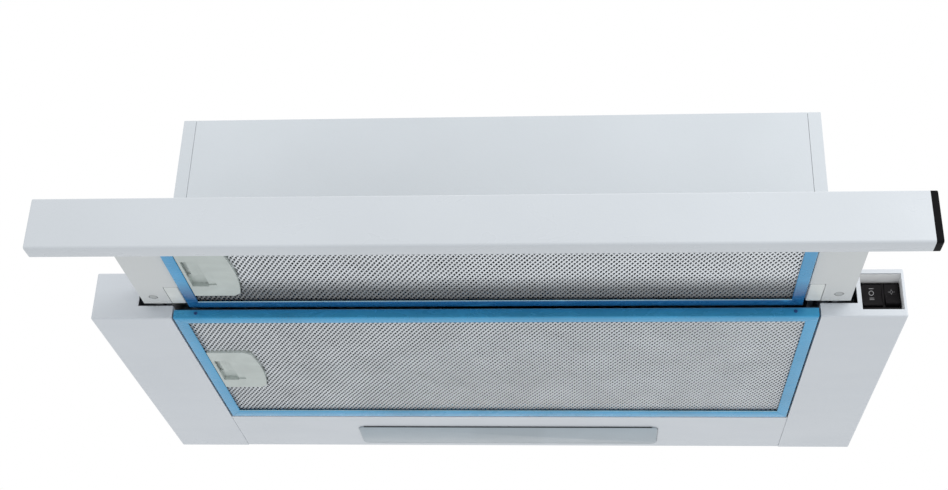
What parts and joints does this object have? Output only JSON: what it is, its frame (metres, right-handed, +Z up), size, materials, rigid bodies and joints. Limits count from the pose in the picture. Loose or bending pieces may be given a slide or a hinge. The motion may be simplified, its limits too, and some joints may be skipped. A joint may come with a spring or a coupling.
{
  "type": "under cabinet range hood",
  "caption": "Slim white pull-out range hood with blue-framed mesh grease filters, rear lamp lens, rocker switches, centrifugal blower and round top outlet.",
  "frame": {"origin": "middle of the rear face's width, at the height of the wall cabinet's underside, where the rear face meets the wall", "axes": "+Z up, +Y out of the rear face into the wall, +X to the right of a person facing the hood; tray pulled out to its stop"},
  "size_m": [0.602, 0.4025, 0.221],
  "materials": {
    "white_paint": "smooth semi-gloss white powder coat",
    "white_plastic": "fine satin moulded white",
    "grey_plastic": "satin moulded pale grey-green",
    "black_plastic": "semi-gloss moulded black",
    "blue_film": "aluminium profile under bright blue protective film",
    "bare_aluminium": "bare expanded aluminium mesh",
    "zinc_steel": "bright zinc-plated steel",
    "lamp_diffuser": "milky translucent lens",
    "circuit_board": "white solder mask"
  },
  "bodies": {
    "casing": {"case_wrap": "white_paint", "front_panel": "white_paint", "top_panel": "white_paint", "front_cross_rail": "white_paint", "cheek_left": "white_paint", "cheek_right": "white_paint", "rear_lamp_panel": "white_paint", "lamp_lens": "lamp_diffuser", "lamp_tray": "zinc_steel", "led_board": "circuit_board", "led_driver": "white_plastic", "switch_pocket": "white_paint", "switch_housing": "black_plastic", "slide_rail_left": "zinc_steel", "slide_rail_right": "zinc_steel", "blower_scroll": "black_plastic", "inlet_ring": "black_plastic", "fan_motor": "zinc_steel", "motor_bracket": "zinc_steel", "run_capacitor": "white_plastic", "capacitor_clip": "zinc_steel", "terminal_box": "white_plastic", "terminal_lid": "white_plastic", "cable_gland": "black_plastic", "outlet_collar": "black_plastic", "flap_pin": "zinc_steel"},
    "tray": {"tray_fascia": "white_paint", "fascia_end_plate": "white_paint", "fascia_end_cap": "black_plastic", "tray_cross_bar": "zinc_steel", "tray_arm_left": "white_paint", "tray_arm_right": "white_paint", "tray_runner_left": "zinc_steel", "tray_runner_right": "zinc_steel", "glide_block_left": "white_plastic", "glide_block_right": "white_plastic", "arm_screw_left": "zinc_steel", "arm_screw_right": "zinc_steel"},
    "fixed_filter": {"fixed_filter_frame": "blue_film", "fixed_filter_mesh": "bare_aluminium", "fixed_filter_handle": "grey_plastic", "fixed_filter_lug_front": "zinc_steel", "fixed_filter_lug_rear": "zinc_steel"},
    "fixed_latch": {"fixed_filter_latch": "grey_plastic"},
    "sliding_filter": {"sliding_filter_frame": "blue_film", "sliding_filter_mesh": "bare_aluminium", "sliding_filter_handle": "grey_plastic", "sliding_filter_lug_front": "zinc_steel", "sliding_filter_lug_rear": "zinc_steel"},
    "sliding_latch": {"sliding_filter_latch": "grey_plastic"},
    "fan_rocker": {"fan_rocker": "black_plastic"},
    "lamp_rocker": {"lamp_rocker": "black_plastic"},
    "impeller": {"fan_impeller": "black_plastic", "motor_shaft": "zinc_steel"},
    "flap_front": {"flap_front": "black_plastic"},
    "flap_rear": {"flap_rear": "black_plastic"}
  },
  "joints": [
    {"name": "tray_slide", "type": "slide", "parent": "casing", "child": "tray", "axis": [0, 1, 0], "range_m": [0, 0.11]},
    {"name": "fixed_filter_hinge", "type": "hinge", "parent": "casing", "child": "fixed_filter", "pos_m": [0.2356, -0.1745, -0.038], "axis": [0, 1, 0], "range_deg": [-40, 0]},
    {"name": "sliding_filter_hinge", "type": "hinge", "parent": "tray", "child": "sliding_filter", "pos_m": [0.2242, -0.33205, -0.0294], "axis": [0, 1, 0], "range_deg": [-40, 0]},
    {"name": "fixed_latch_slide", "type": "slide", "parent": "fixed_filter", "child": "fixed_latch", "axis": [1, 0, 0], "range_m": [-0.003, 0.004], "stiffness_N_per_m": 250},
    {"name": "sliding_latch_slide", "type": "slide", "parent": "sliding_filter", "child": "sliding_latch", "axis": [1, 0, 0], "range_m": [-0.003, 0.004], "stiffness_N_per_m": 250},
    {"name": "fan_rocker_tilt", "type": "hinge", "parent": "casing", "child": "fan_rocker", "pos_m": [0.2753, -0.263, -0.0178], "axis": [1, 0, 0], "range_deg": [-8, 8]},
    {"name": "lamp_rocker_tilt", "type": "hinge", "parent": "casing", "child": "lamp_rocker", "pos_m": [0.2895, -0.263, -0.0178], "axis": [1, 0, 0], "range_deg": [0, 16]},
    {"name": "impeller_spin", "type": "hinge", "parent": "casing", "child": "impeller", "pos_m": [0, -0.126, 0.066], "axis": [1, 0, 0], "continuous": true},
    {"name": "flap_front_hinge", "type": "hinge", "parent": "casing", "child": "flap_front", "pos_m": [0, -0.104, 0.1474], "axis": [-1, 0, 0], "range_deg": [0, 75]},
    {"name": "flap_rear_hinge", "type": "hinge", "parent": "casing", "child": "flap_rear", "pos_m": [0, -0.104, 0.1474], "axis": [1, 0, 0], "range_deg": [0, 75]}
  ]
}
